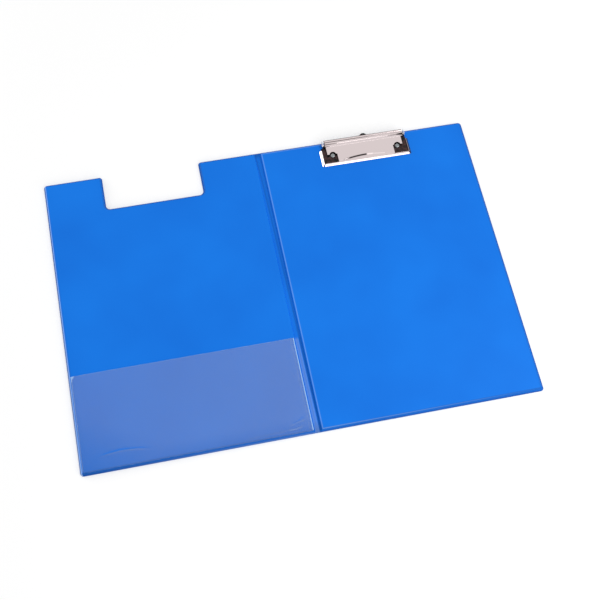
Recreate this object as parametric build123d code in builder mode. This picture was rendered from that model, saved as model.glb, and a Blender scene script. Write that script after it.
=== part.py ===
from build123d import *
import os

# A fold-over clipboard for A4 sheets, lying open and flat with its inside up.
# Millimetres. X runs across the open folder, from the front cover to the board with the clip,
# Y towards the clip, Z up. The origin is under the middle of the whole part.

# Boards and their plastic skins
board_width = 224.3
board_height = 318.0
board_thickness = 3.0
corner_radius = 3.0
edge_round = 1.4
skin = 0.35
spine_width = 7.3
fold_clearance = 0.15

# Notch that lets the closed cover lie round the clip
notch_width = 103.0
notch_depth = 39.5
notch_inner_radius = 4.5
notch_outer_radius = 3.0

# Clear pocket on the inside of the cover
pocket_height = 98.5
pocket_film = 0.25
pocket_mouth = 0.3
pocket_weld = 2.5
pocket_side_inset = 2.5
pocket_spine_inset = 1.6
pocket_bottom_inset = 2.0
pocket_corner_radius = 2.0

# Jaw plate of the clip: insets are from the board's top edge, heights from the board's face
steel = 0.6
clip_shift = -0.4
jaw_width = 98.4
jaw_front_inset = 30.5
jaw_lift = 0.1
lip_run = 1.5
bend_radius = 0.6
crease_radius = 0.5
plateau_height = 2.8
front_step_depth = 0.7
front_step_run = 1.0
front_step_height = 0.7
plateau_rear_inset = 8.0
roll_rise_run = 0.25
roll_top_height = 6.1
roll_top_width = 3.0
roll_radius = 0.8
valley_inset = 3.45
valley_height = 5.2
lever_side_inset = 5.8
lever_shift = 0.6
lever_crest_inset = 2.3
lever_crest_width = 0.6
lever_crest_height = 5.8
lever_rear_inset = 1.1
lever_rear_height = 5.2
lever_radius = 0.6

# Side walls of the jaw, joined to the strip behind its lip and free at their rear ends
side_run = 1.9
side_lip = 0.4
side_rear_inset = 11.6
mitre_lip_cut = 0.9
mitre_wall_cut = 0.1
mitre_root = 0.5

# Windows in the jaw's corners, each with a round notch over a rivet
window_inner_margin = 4.9
window_strip_inset = 7.6
window_rear_inset = 17.9
access_diameter = 7.2
rivet_spacing = 71.6
rivet_inset = 18.6

# Two-part rivets
rivet_head_diameter = 5.2
rivet_head_height = 1.3
rivet_head_round = 1.2
rivet_shank_diameter = 3.0
rivet_sleeve_diameter = 4.4
rivet_back_diameter = 8.0
rivet_back_height = 0.7
rivet_fit = 0.03
rivet_play = 0.1

# Pivot pin, the base's ears outside the lever and the jaw's tabs inside it
pin_diameter = 2.0
pin_height = 2.8
pin_inset = 5.45
pin_head_diameter = 3.2
pin_head_length = 0.6
pin_seat = 0.02
pin_running = 0.07
ear_side_gap = 1.5
ear_radius = 2.7
ear_tail = 2.4
ear_tail_rise = 0.1
ear_tail_radius = 2.2
tab_radius = 1.9
tab_inset = 1.2

# Base plate
base_front_inset = 28.8
base_side_inset = 2.4
base_rear_inset = 3.2
base_corner_radius = 1.5

# Hanger that slides out from under the base plate
hanger_width = 8.4
hanger_shoulder_width = 12.4
hanger_shoulder_length = 4.0
hanger_inner_inset = 24.0
hanger_reach = 3.7
hanger_tip_radius = 4.2
hanger_travel = 14.0
hanger_hole_diameter = 4.6
hanger_hole_web = 1.9
hanger_shift = 2.1
hanger_lift = 0.15
hanger_headroom = 0.25
channel_play = 0.4

# Torsion springs round the pin
spring_wire = 0.5
spring_mean_diameter = 3.3
spring_pitch = 1.3
spring_full_turns = 3
spring_spacing = 52.0
spring_leg_drop = 10.0
spring_upper_leg = 1.6
spring_lower_leg = 2.1

# Places worked out from the sizes above
overall_depth = board_height + hanger_reach
bottom_edge = -overall_depth / 2
top_edge = bottom_edge + board_height
board_middle_y = (bottom_edge + top_edge) / 2
rear_middle_x = (spine_width + board_width) / 2
cover_middle_x = -rear_middle_x
core_thickness = board_thickness - 2 * skin
core_round = edge_round - skin
web_half_width = spine_width / 2 - skin - fold_clearance
clip_x = rear_middle_x + clip_shift
lever_x = clip_x + lever_shift
base_top = board_thickness + steel
rivet_y = top_edge - rivet_inset
rivet_places = [(clip_x + side * rivet_spacing / 2, rivet_y) for side in (-1, 1)]
pin_y = top_edge - pin_inset
pin_z = board_thickness + pin_height
jaw_front_y = top_edge - jaw_front_inset
lever_width = jaw_width - 2 * lever_side_inset
ear_outer_width = lever_width + 2 * (ear_side_gap + steel)
plateau_top = board_thickness + plateau_height
plateau_rear_y = top_edge - plateau_rear_inset


# Outlines of the two boards
with BuildSketch() as rear_outline:
    with Locations((rear_middle_x, board_middle_y)):
        RectangleRounded(board_width, board_height, corner_radius)

with BuildSketch() as cover_outline:
    with Locations((cover_middle_x, board_middle_y)):
        RectangleRounded(board_width, board_height, corner_radius)
    with Locations((cover_middle_x, top_edge)):
        Rectangle(notch_width, 2 * notch_depth, mode=Mode.SUBTRACT)
    notch_corners = cover_outline.vertices().sort_by(lambda v: abs(v.X - cover_middle_x))[:4]
    fillet(notch_corners.sort_by(Axis.Y)[:2], notch_inner_radius)
    notch_mouth = cover_outline.vertices().group_by(Axis.Y)[-1]
    fillet(notch_mouth.sort_by(lambda v: abs(v.X - cover_middle_x))[:2], notch_outer_radius)


# A greyboard core before it is drilled, rounded where the skin is drawn over its upper edge
def core_blank(outline):
    with BuildPart() as blank:
        with BuildSketch(Plane.XY.offset(skin)):
            add(outline)
            offset(amount=-skin)
        extrude(amount=core_thickness)
        fillet(blank.faces().sort_by(Axis.Z)[-1].edges(), core_round)
    return blank.part


rear_core_blank = core_blank(rear_outline.sketch)
cover_core_blank = core_blank(cover_outline.sketch)

# Board that carries the clip
with BuildPart() as rear_board_core:
    add(rear_core_blank)
    with BuildSketch():
        with Locations(*rivet_places):
            Circle(rivet_sleeve_diameter / 2 + rivet_play)
    extrude(amount=board_thickness, mode=Mode.SUBTRACT)
    with BuildSketch():
        with Locations(*rivet_places):
            Circle(rivet_back_diameter / 2 + rivet_play)
    extrude(amount=rivet_back_height, mode=Mode.SUBTRACT)

with BuildPart() as rear_board_inner_skin:
    with BuildSketch(Plane.XY.offset(skin)):
        add(rear_outline.sketch)
    extrude(amount=board_thickness - skin)
    fillet(rear_board_inner_skin.faces().sort_by(Axis.Z)[-1].edges(), edge_round)
    add(rear_core_blank, mode=Mode.SUBTRACT)
    with BuildSketch(Plane.XY.offset(board_thickness)):
        with Locations(*rivet_places):
            Circle(rivet_sleeve_diameter / 2 + rivet_play)
    extrude(amount=-skin, mode=Mode.SUBTRACT)

with BuildPart() as rear_board_outer_skin:
    with BuildSketch():
        add(rear_outline.sketch)
        with Locations(*rivet_places):
            Circle(rivet_back_diameter / 2 + rivet_play, mode=Mode.SUBTRACT)
    extrude(amount=skin)

# Spine: two skins welded into one web, which folds along both its long edges
with BuildPart() as spine_outer_skin:
    with BuildSketch():
        with Locations((0, board_middle_y)):
            Rectangle(2 * web_half_width, board_height)
    extrude(amount=skin)

with BuildPart() as spine_inner_skin:
    with BuildSketch(Plane.XY.offset(skin)):
        with Locations((0, board_middle_y)):
            Rectangle(2 * web_half_width, board_height)
    extrude(amount=skin)

# Front cover with its notch
with BuildPart() as front_cover_core:
    add(cover_core_blank)

with BuildPart() as front_cover_inner_skin:
    with BuildSketch(Plane.XY.offset(skin)):
        add(cover_outline.sketch)
    extrude(amount=board_thickness - skin)
    fillet(front_cover_inner_skin.faces().sort_by(Axis.Z)[-1].edges(), edge_round)
    add(cover_core_blank, mode=Mode.SUBTRACT)

with BuildPart() as front_cover_outer_skin:
    with BuildSketch():
        add(cover_outline.sketch)
    extrude(amount=skin)

# Clear pocket, welded down on three sides and open towards the notch
pocket_left = cover_middle_x - board_width / 2 + pocket_side_inset
pocket_right = cover_middle_x + board_width / 2 - pocket_spine_inset
pocket_width = pocket_right - pocket_left
pocket_middle = ((pocket_left + pocket_right) / 2, bottom_edge + pocket_bottom_inset + pocket_height / 2)
with BuildPart() as clear_pocket:
    with BuildSketch(Plane.XY.offset(board_thickness)):
        with Locations(pocket_middle):
            Rectangle(pocket_width, pocket_height)
    extrude(amount=pocket_mouth + pocket_film)
    lower_corners = clear_pocket.edges().filter_by(Axis.Z).sort_by(Axis.Y)[:2]
    fillet(lower_corners, pocket_corner_radius)
    with BuildSketch(Plane.XY.offset(board_thickness)):
        with Locations((pocket_middle[0], pocket_middle[1] + pocket_weld)):
            Rectangle(pocket_width - 2 * pocket_weld, pocket_height)
    extrude(amount=pocket_mouth, mode=Mode.SUBTRACT)

# Jaw plate: one strip of sheet steel bent into lip, plateau, roll over the pin and lever
lip_y = jaw_front_y + steel / 2
lip_head_y = lip_y + lip_run
step_y = lip_head_y + front_step_depth
plateau_z = plateau_top - steel / 2
strip_z = plateau_z - front_step_height
valley_z = board_thickness + valley_height - steel / 2
roll_y = plateau_rear_y + roll_rise_run
roll_z = board_thickness + roll_top_height - steel / 2
crest_y = top_edge - lever_crest_inset
crest_z = board_thickness + lever_crest_height - steel / 2
lever_y = top_edge - lever_rear_inset
lever_z = board_thickness + lever_rear_height - steel / 2
section_points = [
    (lip_y, board_thickness),
    (lip_head_y, strip_z),
    (step_y, strip_z),
    (step_y + front_step_run, plateau_z),
    (plateau_rear_y, plateau_z),
    (roll_y, roll_z),
    (roll_y + roll_top_width, roll_z),
    (top_edge - valley_inset, valley_z),
    (crest_y - lever_crest_width / 2, crest_z),
    (crest_y + lever_crest_width / 2, crest_z),
    (lever_y, lever_z),
]
bends = [bend_radius, crease_radius, crease_radius, crease_radius]
bends += [roll_radius, roll_radius, lever_radius, lever_radius, lever_radius]
side_foot_x = jaw_width / 2 - steel / 2
side_head_x = side_foot_x - side_run
side_inner_x = side_head_x - side_lip
side_rear_y = top_edge - side_rear_inset
tab_middle_x = lever_width / 2 - tab_inset - steel / 2
mitre_reach = 3 * (lip_run + side_run)


# One edge of the slit between lip and side wall, from its root out past the corner
def mitre_edge(side, offset_y):
    along = Vector(side * side_run, -lip_run).normalized()
    corner = Vector(clip_x + side * side_head_x, lip_head_y + offset_y)
    return corner - along * mitre_root, corner + along * mitre_reach


with BuildPart() as jaw_plate:
    with BuildSketch(Plane.YZ.offset(clip_x)):
        with BuildLine():
            FilletPolyline(*section_points, radius=bends)
        trace(line_width=steel)
    extrude(amount=jaw_width / 2, both=True)
    # plan behind the front strip: plateau with a round notch over each rivet, then the lever
    with BuildSketch():
        with Locations((clip_x, step_y)):
            Rectangle(2 * jaw_width, board_height, align=(Align.CENTER, Align.MIN))
            Rectangle(
                rivet_spacing - 2 * window_inner_margin,
                board_height,
                align=(Align.CENTER, Align.MIN),
                mode=Mode.SUBTRACT,
            )
        with Locations((clip_x, top_edge - window_rear_inset)):
            Rectangle(
                jaw_width - 2 * window_strip_inset,
                board_height,
                align=(Align.CENTER, Align.MIN),
                mode=Mode.SUBTRACT,
            )
        with Locations((lever_x, plateau_rear_y)):
            Rectangle(lever_width, board_height, align=(Align.CENTER, Align.MIN), mode=Mode.SUBTRACT)
        with Locations(*rivet_places):
            Circle(access_diameter / 2)
    extrude(amount=2 * plateau_top, mode=Mode.SUBTRACT)
    # strip and lip cut back to the mitres
    for side in (-1, 1):
        root, end = mitre_edge(side, -mitre_lip_cut)
        with BuildSketch():
            with BuildLine():
                Polyline(root, end, (end.X, top_edge), (root.X, top_edge), close=True)
            make_face()
        extrude(amount=2 * plateau_top, mode=Mode.SUBTRACT)

for side in (-1, 1):
    root, end = mitre_edge(side, mitre_wall_cut)
    inner_x = clip_x + side * side_inner_x
    with BuildPart() as side_wall:
        with BuildSketch(Plane.XZ.offset(-jaw_front_y)):
            with BuildLine():
                FilletPolyline(
                    (inner_x, strip_z),
                    (clip_x + side * side_head_x, strip_z),
                    (clip_x + side * side_foot_x, board_thickness),
                    radius=bend_radius,
                )
            trace(line_width=steel)
        extrude(amount=jaw_front_y - side_rear_y)
        with BuildSketch():
            with BuildLine():
                Polyline(
                    (clip_x, root.Y),
                    root,
                    end,
                    (end.X, bottom_edge),
                    (clip_x, bottom_edge),
                    close=True,
                )
            make_face()
        extrude(amount=2 * plateau_top, mode=Mode.SUBTRACT)
    with jaw_plate:
        add(side_wall.part)

with jaw_plate:
    # feet of the lip and walls, flat and just clear of the board
    with BuildSketch():
        with Locations((clip_x, jaw_front_y)):
            Rectangle(2 * jaw_width, board_height)
    extrude(amount=board_thickness + jaw_lift, mode=Mode.SUBTRACT)
    # tabs that hang from the roll and turn on the pin
    for side in (-1, 1):
        with BuildSketch(Plane.YZ.offset(lever_x + side * tab_middle_x)):
            with Locations((roll_y, pin_z)):
                Rectangle(roll_top_width, roll_z - pin_z, align=(Align.MIN, Align.MIN))
            with Locations((pin_y, pin_z)):
                Circle(tab_radius)
                Circle(pin_diameter / 2 + pin_running, mode=Mode.SUBTRACT)
        extrude(amount=steel / 2, both=True)

# Base plate with its two ears and the raised channel for the hanger
base_front_y = top_edge - base_front_inset
base_rear_y = top_edge - base_rear_inset
base_half_width = jaw_width / 2 - base_side_inset
ear_middle_x = (ear_outer_width - steel) / 2
ear_front_y = pin_y - ear_radius
hanger_x = clip_x + hanger_shift
hanger_inner_y = top_edge - hanger_inner_inset
stop_y = hanger_inner_y + hanger_shoulder_length + hanger_travel + channel_play
channel_height = hanger_lift + steel + hanger_headroom
with BuildPart() as base_plate:
    with BuildSketch(Plane.XY.offset(board_thickness)):
        with Locations((clip_x, base_front_y)):
            Rectangle(2 * base_half_width, ear_front_y - base_front_y, align=(Align.CENTER, Align.MIN))
        with Locations((lever_x, base_front_y)):
            Rectangle(ear_outer_width, base_rear_y - base_front_y, align=(Align.CENTER, Align.MIN))
    extrude(amount=steel)
    with BuildSketch(Plane.XY.offset(board_thickness)):
        with Locations((hanger_x, hanger_inner_y - channel_play - steel)):
            Rectangle(
                hanger_shoulder_width + 2 * channel_play + 2 * steel,
                base_rear_y - hanger_inner_y + channel_play + steel,
                align=(Align.CENTER, Align.MIN),
            )
    extrude(amount=channel_height + steel)
    with BuildSketch(Plane.XY.offset(board_thickness)):
        with Locations((hanger_x, hanger_inner_y - channel_play)):
            Rectangle(
                hanger_shoulder_width + 2 * channel_play,
                stop_y - hanger_inner_y + channel_play,
                align=(Align.CENTER, Align.MIN),
            )
            Rectangle(hanger_width + 2 * channel_play, overall_depth, align=(Align.CENTER, Align.MIN))
    extrude(amount=channel_height, mode=Mode.SUBTRACT)
    for side in (-1, 1):
        with BuildSketch(Plane.YZ.offset(lever_x + side * ear_middle_x)):
            with Locations((pin_y, pin_z)):
                Circle(ear_radius)
            with Locations((pin_y + ear_tail, pin_z + ear_tail_rise)):
                Circle(ear_tail_radius)
            make_hull()
            with Locations((pin_y - ear_radius, pin_z)):
                Rectangle(ear_radius + ear_tail, pin_height, align=(Align.MIN, Align.MAX))
        extrude(amount=steel / 2, both=True)
    with BuildSketch(Plane.YZ.offset(lever_x - ear_outer_width / 2)):
        with Locations((pin_y, pin_z)):
            Circle(pin_diameter / 2 + pin_seat)
    extrude(amount=ear_outer_width, mode=Mode.SUBTRACT)
    with BuildSketch(Plane.XY.offset(board_thickness)):
        with Locations(*rivet_places):
            Circle(rivet_shank_diameter / 2 + rivet_play)
    extrude(amount=steel, mode=Mode.SUBTRACT)
    base_corners = base_plate.edges().filter_by(Axis.Z).group_by(Axis.Y)[0]
    fillet(base_corners, base_corner_radius)

# Pin with a peened head outside each ear
with BuildPart() as pivot_pin:
    with BuildSketch(Plane.YZ.offset(lever_x)):
        with Locations((pin_y, pin_z)):
            Circle(pin_diameter / 2)
    extrude(amount=ear_outer_width / 2, both=True)
    for side in (-1, 1):
        with BuildSketch(Plane.YZ.offset(lever_x + side * ear_outer_width / 2)):
            with Locations((pin_y, pin_z)):
                Circle(pin_head_diameter / 2)
        extrude(amount=side * pin_head_length)

# Rivets, domed on the base plate, and the flat halves that close them under the board
sleeve_top = board_thickness - rivet_play
with BuildPart() as rivets:
    for place in rivet_places:
        with BuildSketch(Plane.XY.offset(base_top)):
            with Locations(place):
                Circle(rivet_head_diameter / 2)
        extrude(amount=rivet_head_height)
        with BuildSketch(Plane.XY.offset(base_top)):
            with Locations(place):
                Circle(rivet_shank_diameter / 2)
        extrude(amount=-(base_top - rivet_back_height))
    head_rims = rivets.faces().filter_by(Axis.Z).group_by(Axis.Z)[-1].edges()
    fillet(head_rims, rivet_head_round)

with BuildPart() as rivet_backs:
    for place in rivet_places:
        with BuildSketch():
            with Locations(place):
                Circle(rivet_back_diameter / 2)
        extrude(amount=rivet_back_height)
        with BuildSketch(Plane.XY.offset(rivet_back_height)):
            with Locations(place):
                Circle(rivet_sleeve_diameter / 2)
                Circle(rivet_shank_diameter / 2 + rivet_fit, mode=Mode.SUBTRACT)
        extrude(amount=sleeve_top - rivet_back_height)

# Hanger, pushed in: only its rounded tip stands out past the board's top edge
hanger_tip_y = top_edge + hanger_reach
hanger_hole_y = hanger_tip_y - hanger_hole_web - hanger_hole_diameter / 2
with BuildPart() as hanger:
    with BuildSketch(Plane.XY.offset(board_thickness + hanger_lift)):
        with Locations((hanger_x, hanger_tip_y - hanger_tip_radius)):
            Circle(hanger_tip_radius)
        with Locations((hanger_x, hanger_inner_y)):
            Rectangle(hanger_width, overall_depth, align=(Align.CENTER, Align.MIN), mode=Mode.INTERSECT)
            Rectangle(
                hanger_width,
                hanger_tip_y - hanger_tip_radius - hanger_inner_y,
                align=(Align.CENTER, Align.MIN),
            )
            Rectangle(hanger_shoulder_width, hanger_shoulder_length, align=(Align.CENTER, Align.MIN))
        with Locations((hanger_x, hanger_hole_y)):
            Circle(hanger_hole_diameter / 2, mode=Mode.SUBTRACT)
    extrude(amount=steel)


# Torsion spring: its lower leg lies over the base plate and its upper leg under the lever
full_turn = 360
half_turn = 180
spring_turns = spring_full_turns + (half_turn + spring_leg_drop) / full_turn
spring_length = spring_pitch * spring_turns


def torsion_spring(middle_x):
    start = (middle_x - spring_length / 2, pin_y, pin_z)
    with BuildPart() as spring:
        with BuildLine() as route:
            coil = Helix(
                spring_pitch, spring_length, spring_mean_diameter / 2, center=start, direction=(1, 0, 0)
            )
            Line(coil @ 0 - (coil % 0) * spring_upper_leg, coil @ 0)
            Line(coil @ 1, coil @ 1 + (coil % 1) * spring_lower_leg)
        wire = route.line.wires()[0]
        with BuildSketch(Plane(origin=wire @ 0, z_dir=wire % 0)):
            Circle(spring_wire / 2)
        sweep(path=wire)
    # the coil begins at its top with a level leg, so it is turned until that leg lies under the lever
    return spring.part.rotate(Axis(start, (1, 0, 0)), -spring_leg_drop)


with BuildPart() as left_spring:
    add(torsion_spring(lever_x - spring_spacing / 2))

with BuildPart() as right_spring:
    add(torsion_spring(lever_x + spring_spacing / 2))

pieces = {
    "rear_board_core": rear_board_core,
    "rear_board_inner_skin": rear_board_inner_skin,
    "rear_board_outer_skin": rear_board_outer_skin,
    "spine_outer_skin": spine_outer_skin,
    "spine_inner_skin": spine_inner_skin,
    "front_cover_core": front_cover_core,
    "front_cover_inner_skin": front_cover_inner_skin,
    "front_cover_outer_skin": front_cover_outer_skin,
    "clear_pocket": clear_pocket,
    "jaw_plate": jaw_plate,
    "base_plate": base_plate,
    "pivot_pin": pivot_pin,
    "rivets": rivets,
    "rivet_backs": rivet_backs,
    "hanger": hanger,
    "left_spring": left_spring,
    "right_spring": right_spring,
}

os.makedirs("parts", exist_ok=True)
for name, piece in pieces.items():
    piece.part.label = name
    export_step(piece.part, f"parts/{name}.step")
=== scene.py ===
from math import asin, copysign, cos, degrees, exp, hypot, pi, radians, sin, sqrt, tan

import bmesh
import bpy
from mathutils import Matrix, Vector


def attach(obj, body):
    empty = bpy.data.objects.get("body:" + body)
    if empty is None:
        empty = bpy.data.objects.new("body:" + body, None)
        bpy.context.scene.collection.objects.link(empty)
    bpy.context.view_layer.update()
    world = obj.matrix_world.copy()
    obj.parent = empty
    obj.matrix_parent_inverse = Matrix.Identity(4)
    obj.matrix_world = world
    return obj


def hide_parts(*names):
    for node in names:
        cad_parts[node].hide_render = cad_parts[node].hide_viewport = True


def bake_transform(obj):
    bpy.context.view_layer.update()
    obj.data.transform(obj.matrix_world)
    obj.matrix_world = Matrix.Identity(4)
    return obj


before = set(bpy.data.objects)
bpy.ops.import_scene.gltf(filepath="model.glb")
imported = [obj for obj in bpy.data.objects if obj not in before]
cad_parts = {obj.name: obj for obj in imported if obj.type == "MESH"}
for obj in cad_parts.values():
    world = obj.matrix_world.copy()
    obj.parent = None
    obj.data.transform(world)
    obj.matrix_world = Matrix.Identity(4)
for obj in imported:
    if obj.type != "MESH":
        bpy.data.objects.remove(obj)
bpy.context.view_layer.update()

# Everything is in metres in the part's own frame, and sizes are written in millimetres
mm = 0.001

camera = {
    "lens": 64.264,
    "sensor": 36,
    "clip": (0.05, 50),
    "target": (10.73, -20.38, 0.0),
    "distance": 1086.643,
    "elevation": 65.64,
    "azimuth": -17.16,
    "roll": 6.0,
}


def addObject(name, data):
    body = bpy.data.objects.new(name, data)
    bpy.context.scene.collection.objects.link(body)
    return body


def placeCamera():
    elevation, azimuth, roll = [radians(camera[name]) for name in ("elevation", "azimuth", "roll")]
    back = Vector((
        sin(azimuth) * cos(elevation),
        -cos(azimuth) * cos(elevation),
        sin(elevation),
    ))
    across = Vector((0, 0, 1)).cross(back).normalized()
    upward = back.cross(across)
    right = across * cos(roll) + upward * sin(roll)
    top = upward * cos(roll) - across * sin(roll)
    place = (Vector(camera["target"]) + back * camera["distance"]) * mm
    data = bpy.data.cameras.new("productCamera")
    data.lens = camera["lens"]
    data.sensor_width = camera["sensor"]
    data.clip_start, data.clip_end = camera["clip"]
    body = addObject("productCamera", data)
    body.matrix_world = ((*right, 0), (*top, 0), (*back, 0), (*place, 1))
    bpy.context.scene.camera = body


placeCamera()
bpy.context.scene.view_settings.view_transform = "Standard"
print("camera placed")


# Materials


def linearColour(text):
    parts = [int(text[i:i + 2], 16) / 255 for i in (1, 3, 5)]
    linear = [p / 12.92 if p <= 0.04045 else ((p + 0.055) / 1.055) ** 2.4 for p in parts]
    return (*linear, 1.0)


# Adds a node: its settings by name, its inputs by name or number, with colours as hex, and its links, from an
# output or from a node's first one
def addNode(tree, kind, values=None, links=None):
    node = tree.nodes.new(kind)
    for name, value in (values or {}).items():
        if isinstance(name, str) and name in node.bl_rna.properties:
            setattr(node, name, value)
        else:
            isColour = isinstance(value, str) and value.startswith("#")
            node.inputs[name].default_value = linearColour(value) if isColour else value
    for name, source in (links or {}).items():
        tree.links.new(source.outputs[0] if hasattr(source, "outputs") else source, node.inputs[name])
    return node


def newMaterial(name):
    material = bpy.data.materials.new(name)
    material.use_nodes = True
    material.node_tree.nodes.clear()
    return material, material.node_tree


def closeMaterial(material, shader):
    addNode(material.node_tree, "ShaderNodeOutputMaterial", links={"Surface": shader})
    return material


# Inputs with which Map Range starts from a span of values
def fromSpan(low, high):
    return {"From Min": low, "From Max": high}


# Soft PVC sheet, calendered: an even, saturated blue with a satin face and a fine matt grain, with painted
# shade and painted highlights along its lines
bluePvc = {
    "colour": "#1077e3",
    "deepColour": "#0d6fda",
    "weldColour": "#0b4a96",
    "paintedSheetHighlightColour": "#b9d8ff",
    "roughness": 0.42,
    "specular": 0.1,
    "grain": 0.45,
    "grainDepth": 0.006,
    "cloud": 85.0,
    "cloudSpan": (0.3, 0.7),
    "cloudDepth": 0.18,
}


def makeBluePvc(name, look):
    material, tree = newMaterial(name)
    place = addNode(tree, "ShaderNodeTexCoord").outputs["Object"]
    cloud = addNode(tree, "ShaderNodeTexNoise", {"Scale": 1 / (look["cloud"] * mm)}, {"Vector": place})
    grain = addNode(tree, "ShaderNodeTexVoronoi", {"Scale": 1 / (look["grain"] * mm)}, {"Vector": place})
    tone = addNode(tree, "ShaderNodeMapRange", fromSpan(*look["cloudSpan"]), {"Value": cloud})
    colour = addNode(tree, "ShaderNodeMix", {"data_type": "RGBA", 6: look["deepColour"], 7: look["colour"]},
                     {"Factor": tone})
    # The first attribute paints shade in a darker blue, the second paints highlights in a pale blue
    for line in ("weld", "paintedSheetHighlight"):
        share = addNode(tree, "ShaderNodeAttribute", {"attribute_name": line}).outputs["Fac"]
        colour = addNode(tree, "ShaderNodeMix", {"data_type": "RGBA", 7: look[line + "Colour"]},
                         {"Factor": share, 6: colour.outputs[2]})
    wave = addNode(tree, "ShaderNodeBump", {"Distance": look["cloudDepth"] * mm}, {"Height": cloud})
    bump = addNode(tree, "ShaderNodeBump", {"Distance": look["grainDepth"] * mm},
                   {"Height": grain, "Normal": wave})
    shader = addNode(tree, "ShaderNodeBsdfPrincipled", {
        "Roughness": look["roughness"], "Specular IOR Level": look["specular"],
    }, {"Base Color": colour.outputs[2], "Normal": bump})
    return closeMaterial(material, shader)


# Greyboard: pressed waste paper, a flat warm grey with short darker fibres
greyboard = {"colour": "#a39c92", "fibreColour": "#857d73", "fibre": 1.6, "fibreDepth": 0.05,
             "fibreStrength": 0.4, "roughness": 0.9}


def makeGreyboard(name, look):
    material, tree = newMaterial(name)
    place = addNode(tree, "ShaderNodeTexCoord").outputs["Object"]
    fibre = addNode(tree, "ShaderNodeTexNoise", {"Scale": 1 / (look["fibre"] * mm), "Detail": 6.0},
                    {"Vector": place})
    colour = addNode(tree, "ShaderNodeMix", {"data_type": "RGBA", 6: look["fibreColour"], 7: look["colour"]},
                     {"Factor": fibre})
    bump = addNode(tree, "ShaderNodeBump", {
        "Strength": look["fibreStrength"], "Distance": look["fibreDepth"] * mm,
    }, {"Height": fibre})
    shader = addNode(tree, "ShaderNodeBsdfPrincipled", {"Roughness": look["roughness"]},
                     {"Base Color": colour.outputs[2], "Normal": bump})
    return closeMaterial(material, shader)


# Clear soft PVC film: see-through with a milky grey haze and a glossy face, with painted highlights, a
# painted sheen and painted shade laid into its haze and colour
clearFilm = {"colour": "#b0b9bb", "filmShadeColour": "#6c7280", "filmHighlightColour": "#a9d2ff", "roughness": 0.16,
             "filmHighlightSpan": (0.14, 0.4), "specular": 0.35, "wave": 30.0, "waveDepth": 0.12}


def makeClearFilm(name, look):
    material, tree = newMaterial(name)
    place = addNode(tree, "ShaderNodeTexCoord").outputs["Object"]
    wave = addNode(tree, "ShaderNodeTexNoise", {"Scale": 1 / (look["wave"] * mm)}, {"Vector": place})
    bump = addNode(tree, "ShaderNodeBump", {"Distance": look["waveDepth"] * mm}, {"Height": wave})
    hazeAndHighlights = addNode(tree, "ShaderNodeAttribute", {"attribute_name": "hazeAndHighlights"}).outputs["Fac"]
    filmShade = addNode(tree, "ShaderNodeAttribute", {"attribute_name": "filmShade"}).outputs["Fac"]
    # painted highlight: where the haze value runs high the colour turns pale blue
    edge = addNode(tree, "ShaderNodeMapRange", fromSpan(*look["filmHighlightSpan"]), {"Value": hazeAndHighlights})
    # painted shade: the colour darkens towards the lower left corner and along the foot
    shadedFilmColour = addNode(tree, "ShaderNodeMix", {"data_type": "RGBA", 6: look["colour"], 7: look["filmShadeColour"]},
                     {"Factor": filmShade})
    colour = addNode(tree, "ShaderNodeMix", {"data_type": "RGBA", 7: look["filmHighlightColour"]},
                     {"Factor": edge, 6: shadedFilmColour.outputs[2]})
    shader = addNode(tree, "ShaderNodeBsdfPrincipled", {
        "Roughness": look["roughness"], "Specular IOR Level": look["specular"],
    }, {"Base Color": colour.outputs[2], "Normal": bump, "Alpha": hazeAndHighlights})
    return closeMaterial(material, shader)


# Sheet steel, bright nickel plated: a warm grey mirror softened by fine rolling marks, with painted shade,
# painted dark reflections and painted highlights laid into its colour
brightNickel = {
    "colour": "#d8cbcb",
    "paintedShadeColour": "#231d1e",
    "roughness": 0.09,
    "roughnessSpan": (0.75, 1.3),
    "mark": 0.5,
    "markSpan": (0.3, 0.7),
    "markStretch": 0.04,
    "markDepth": 0.003,
}

# Rivet steel: the same plating, duller, and a darker grey as painted shade for heads that sit in the windows
rivetSteel = {**brightNickel, "colour": "#8b9092", "roughness": 0.24}


def makeNickel(name, look):
    material, tree = newMaterial(name)
    place = addNode(tree, "ShaderNodeTexCoord").outputs["Object"]
    stretched = addNode(tree, "ShaderNodeMapping", {"Scale": (look["markStretch"], 1.0, 1.0)},
                        {"Vector": place})
    marks = addNode(tree, "ShaderNodeTexNoise", {"Scale": 1 / (look["mark"] * mm), "Detail": 3.0},
                    {"Vector": stretched})
    smoothest, roughest = [look["roughness"] * share for share in look["roughnessSpan"]]
    rough = addNode(tree, "ShaderNodeMapRange", {
        **fromSpan(*look["markSpan"]), "To Min": smoothest, "To Max": roughest,
    }, {"Value": marks})
    bump = addNode(tree, "ShaderNodeBump", {"Distance": look["markDepth"] * mm}, {"Height": marks})
    # painted shading: above nought the colour darkens to near black as painted shade and dark reflections,
    # below nought it lightens as a painted highlight
    paintedShading = addNode(tree, "ShaderNodeAttribute", {"attribute_name": "paintedShading"}).outputs["Fac"]
    colour = addNode(tree, "ShaderNodeMix", {
        "data_type": "RGBA", "clamp_factor": False, 6: look["colour"], 7: look["paintedShadeColour"],
    }, {"Factor": paintedShading})
    shader = addNode(tree, "ShaderNodeBsdfPrincipled", {"Metallic": 1.0},
                     {"Base Color": colour.outputs[2], "Roughness": rough, "Normal": bump})
    return closeMaterial(material, shader)


# Sheet steel of the base plate: near black with brown patches, painted shade and painted dark reflections for
# its floor in the windows, bright plated above the height of its ears
shadedBaseSteel = {
    "colour": "#1d2526",
    "shadeReflectionColour": "#4e3a3a",
    "brightColour": "#c9d2dc",
    "roughness": 0.3,
    "brightRoughness": 0.12,
    "patch": 3.0,
    "patchSpan": (0.35, 0.65),
    "earFrom": 3.75,
    "earFade": 0.4,
}


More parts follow.
